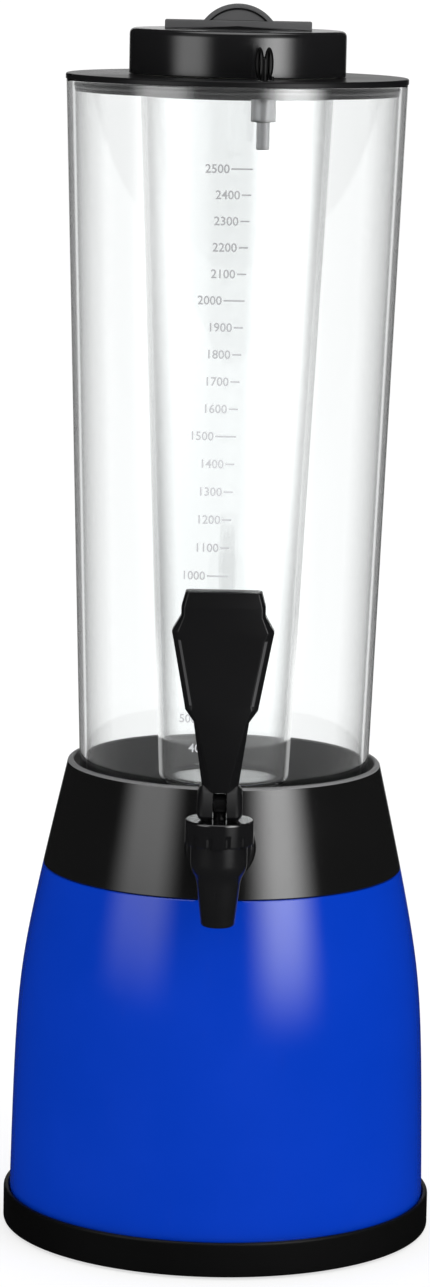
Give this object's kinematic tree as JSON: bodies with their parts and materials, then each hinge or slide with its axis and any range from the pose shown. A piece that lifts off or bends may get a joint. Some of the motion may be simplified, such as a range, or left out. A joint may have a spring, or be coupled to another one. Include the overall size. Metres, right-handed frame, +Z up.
{
  "type": "beer dispenser",
  "caption": "Table-top draft beer dispenser: clear tapered tank with lift-out ice tube and screw cap, vented lid, cam-lever tap and black collar on a flared blue base.",
  "frame": {"origin": "centre of the anti-slip pad's underside, on the floor under the tank's axis", "axes": "+Z up along the tank's axis, -Y from the tank's axis towards the tap, +X to the right of someone facing the tap"},
  "size_m": [0.1748, 0.2005, 0.4983],
  "materials": {
    "black_plastic": "gloss",
    "blue_plastic": "gloss",
    "clear_plastic": "clear",
    "grey_plastic": "satin",
    "silicone": "satin",
    "black_rubber": "matte",
    "steel": "satin"
  },
  "bodies": {
    "base": {"foot_pad": "black_rubber", "foot_plate": "black_plastic", "foot_screws": "steel", "base_shell": "blue_plastic", "collar": "black_plastic", "tank_gasket": "silicone", "tank": "clear_plastic", "tap_body": "black_plastic", "tap_washer_outer": "black_rubber", "tap_washer_inner": "silicone", "tap_nut": "black_plastic", "tap_bonnet": "black_plastic", "tap_spring": "steel"},
    "lid": {"lid": "black_plastic", "lid_seal": "black_rubber", "vent_body": "grey_plastic", "vent_seal": "silicone"},
    "vent_knob": {"vent_knob": "black_plastic"},
    "ice_tube": {"ice_tube": "clear_plastic", "tube_gasket": "silicone"},
    "cap_seal": {"cap_seal": "silicone"},
    "ice_cap": {"ice_cap": "black_plastic"},
    "valve_stem": {"valve_stem": "black_plastic", "seat_cup": "silicone", "pivot_pin": "steel"},
    "tap_handle": {"tap_handle": "black_plastic"}
  },
  "joints": [
    {"name": "handle_tilt", "type": "hinge", "parent": "valve_stem", "child": "tap_handle", "pos_m": [0, -0.0998, 0.1941], "axis": [1, 0, 0], "range_deg": [0, 45], "stiffness_Nm_per_rad": 0.0415, "springref_deg": -45},
    {"name": "stem_lift", "type": "slide", "parent": "base", "child": "valve_stem", "axis": [0, 0, 1], "range_m": [0, 0.0041], "deforming": ["tap_spring"]},
    {"name": "lid_lift", "type": "slide", "parent": "base", "child": "lid", "axis": [0, 0, 1], "range_m": [0, 0.3]},
    {"name": "tube_lift", "type": "slide", "parent": "lid", "child": "ice_tube", "axis": [0, 0, 1], "range_m": [0, 0.3]},
    {"name": "cap_lift", "type": "slide", "parent": "ice_tube", "child": "cap_seal", "axis": [0, 0, 1], "range_m": [0, 0.05]},
    {"name": "cap_turn", "type": "hinge", "parent": "cap_seal", "child": "ice_cap", "pos_m": [0, 0, 0.4882], "axis": [0, 0, 1], "range_deg": [0, 90]},
    {"name": "vent_turn", "type": "hinge", "parent": "lid", "child": "vent_knob", "pos_m": [0.01088, -0.05396, 0.47], "axis": [0, 0, 1], "range_deg": [0, 90]}
  ],
  "couplings": [
    {"joint": "stem_lift", "follows": "handle_tilt", "m_per_rad": 0.005093}
  ]
}
